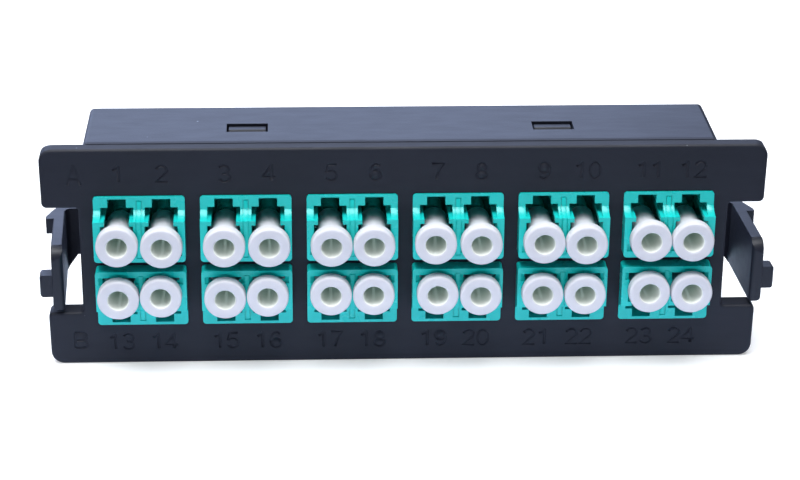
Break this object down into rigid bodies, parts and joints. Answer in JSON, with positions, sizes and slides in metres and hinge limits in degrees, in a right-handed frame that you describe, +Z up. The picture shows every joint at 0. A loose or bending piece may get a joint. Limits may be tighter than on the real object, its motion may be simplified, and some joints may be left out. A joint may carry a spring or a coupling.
{
  "type": "fibre cassette",
  "caption": "Moulded fibre cassette with rows of duplex adapters in a faceplate, a hollow dust plug in each port and a squeeze latch at each side.",
  "frame": {"origin": "on the underside, midway along the cassette, level with the back of the faceplate", "axes": "+X to the right seen from the front, +Y to the rear, +Z up"},
  "size_m": [0.1066, 0.0303, 0.0336],
  "materials": {
    "black_moulding": "satin black moulding",
    "teal_moulding": "teal moulding, half gloss",
    "white_plug": "soft white plastic",
    "ceramic": "ground white ceramic"
  },
  "bodies": {
    "cassette": {"front_frame": "black_moulding", "rear_retainer": "black_moulding", "adapter_01": "teal_moulding", "adapter_02": "teal_moulding", "adapter_03": "teal_moulding", "adapter_04": "teal_moulding", "adapter_05": "teal_moulding", "adapter_06": "teal_moulding", "adapter_07": "teal_moulding", "adapter_08": "teal_moulding", "adapter_09": "teal_moulding", "adapter_10": "teal_moulding", "adapter_11": "teal_moulding", "adapter_12": "teal_moulding", "sleeve_pair_01": "ceramic", "sleeve_pair_02": "ceramic", "sleeve_pair_03": "ceramic", "sleeve_pair_04": "ceramic", "sleeve_pair_05": "ceramic", "sleeve_pair_06": "ceramic", "sleeve_pair_07": "ceramic", "sleeve_pair_08": "ceramic", "sleeve_pair_09": "ceramic", "sleeve_pair_10": "ceramic", "sleeve_pair_11": "ceramic", "sleeve_pair_12": "ceramic"},
    "latch_left": {"latch_left": "black_moulding"},
    "latch_right": {"latch_right": "black_moulding"},
    "plug_01": {"dust_plug_01": "white_plug"},
    "plug_02": {"dust_plug_02": "white_plug"},
    "plug_03": {"dust_plug_03": "white_plug"},
    "plug_04": {"dust_plug_04": "white_plug"},
    "plug_05": {"dust_plug_05": "white_plug"},
    "plug_06": {"dust_plug_06": "white_plug"},
    "plug_07": {"dust_plug_07": "white_plug"},
    "plug_08": {"dust_plug_08": "white_plug"},
    "plug_09": {"dust_plug_09": "white_plug"},
    "plug_10": {"dust_plug_10": "white_plug"},
    "plug_11": {"dust_plug_11": "white_plug"},
    "plug_12": {"dust_plug_12": "white_plug"},
    "plug_13": {"dust_plug_13": "white_plug"},
    "plug_14": {"dust_plug_14": "white_plug"},
    "plug_15": {"dust_plug_15": "white_plug"},
    "plug_16": {"dust_plug_16": "white_plug"},
    "plug_17": {"dust_plug_17": "white_plug"},
    "plug_18": {"dust_plug_18": "white_plug"},
    "plug_19": {"dust_plug_19": "white_plug"},
    "plug_20": {"dust_plug_20": "white_plug"},
    "plug_21": {"dust_plug_21": "white_plug"},
    "plug_22": {"dust_plug_22": "white_plug"},
    "plug_23": {"dust_plug_23": "white_plug"},
    "plug_24": {"dust_plug_24": "white_plug"}
  },
  "joints": [
    {"name": "latch_left_squeeze", "type": "hinge", "parent": "cassette", "child": "latch_left", "pos_m": [-0.04686, 0.01275, 0.01405], "axis": [0, 0, 1], "range_deg": [0, 8], "stiffness_Nm_per_rad": 0.2},
    {"name": "latch_right_squeeze", "type": "hinge", "parent": "cassette", "child": "latch_right", "pos_m": [0.04686, 0.01275, 0.01405], "axis": [0, 0, -1], "range_deg": [0, 8], "stiffness_Nm_per_rad": 0.2},
    {"name": "plug_01_pull", "type": "slide", "parent": "cassette", "child": "plug_01", "axis": [0, -1, 0], "range_m": [0, 0.012]},
    {"name": "plug_02_pull", "type": "slide", "parent": "cassette", "child": "plug_02", "axis": [0, -1, 0], "range_m": [0, 0.012]},
    {"name": "plug_03_pull", "type": "slide", "parent": "cassette", "child": "plug_03", "axis": [0, -1, 0], "range_m": [0, 0.012]},
    {"name": "plug_04_pull", "type": "slide", "parent": "cassette", "child": "plug_04", "axis": [0, -1, 0], "range_m": [0, 0.012]},
    {"name": "plug_05_pull", "type": "slide", "parent": "cassette", "child": "plug_05", "axis": [0, -1, 0], "range_m": [0, 0.012]},
    {"name": "plug_06_pull", "type": "slide", "parent": "cassette", "child": "plug_06", "axis": [0, -1, 0], "range_m": [0, 0.012]},
    {"name": "plug_07_pull", "type": "slide", "parent": "cassette", "child": "plug_07", "axis": [0, -1, 0], "range_m": [0, 0.012]},
    {"name": "plug_08_pull", "type": "slide", "parent": "cassette", "child": "plug_08", "axis": [0, -1, 0], "range_m": [0, 0.012]},
    {"name": "plug_09_pull", "type": "slide", "parent": "cassette", "child": "plug_09", "axis": [0, -1, 0], "range_m": [0, 0.012]},
    {"name": "plug_10_pull", "type": "slide", "parent": "cassette", "child": "plug_10", "axis": [0, -1, 0], "range_m": [0, 0.012]},
    {"name": "plug_11_pull", "type": "slide", "parent": "cassette", "child": "plug_11", "axis": [0, -1, 0], "range_m": [0, 0.012]},
    {"name": "plug_12_pull", "type": "slide", "parent": "cassette", "child": "plug_12", "axis": [0, -1, 0], "range_m": [0, 0.012]},
    {"name": "plug_13_pull", "type": "slide", "parent": "cassette", "child": "plug_13", "axis": [0, -1, 0], "range_m": [0, 0.012]},
    {"name": "plug_14_pull", "type": "slide", "parent": "cassette", "child": "plug_14", "axis": [0, -1, 0], "range_m": [0, 0.012]},
    {"name": "plug_15_pull", "type": "slide", "parent": "cassette", "child": "plug_15", "axis": [0, -1, 0], "range_m": [0, 0.012]},
    {"name": "plug_16_pull", "type": "slide", "parent": "cassette", "child": "plug_16", "axis": [0, -1, 0], "range_m": [0, 0.012]},
    {"name": "plug_17_pull", "type": "slide", "parent": "cassette", "child": "plug_17", "axis": [0, -1, 0], "range_m": [0, 0.012]},
    {"name": "plug_18_pull", "type": "slide", "parent": "cassette", "child": "plug_18", "axis": [0, -1, 0], "range_m": [0, 0.012]},
    {"name": "plug_19_pull", "type": "slide", "parent": "cassette", "child": "plug_19", "axis": [0, -1, 0], "range_m": [0, 0.012]},
    {"name": "plug_20_pull", "type": "slide", "parent": "cassette", "child": "plug_20", "axis": [0, -1, 0], "range_m": [0, 0.012]},
    {"name": "plug_21_pull", "type": "slide", "parent": "cassette", "child": "plug_21", "axis": [0, -1, 0], "range_m": [0, 0.012]},
    {"name": "plug_22_pull", "type": "slide", "parent": "cassette", "child": "plug_22", "axis": [0, -1, 0], "range_m": [0, 0.012]},
    {"name": "plug_23_pull", "type": "slide", "parent": "cassette", "child": "plug_23", "axis": [0, -1, 0], "range_m": [0, 0.012]},
    {"name": "plug_24_pull", "type": "slide", "parent": "cassette", "child": "plug_24", "axis": [0, -1, 0], "range_m": [0, 0.012]}
  ]
}
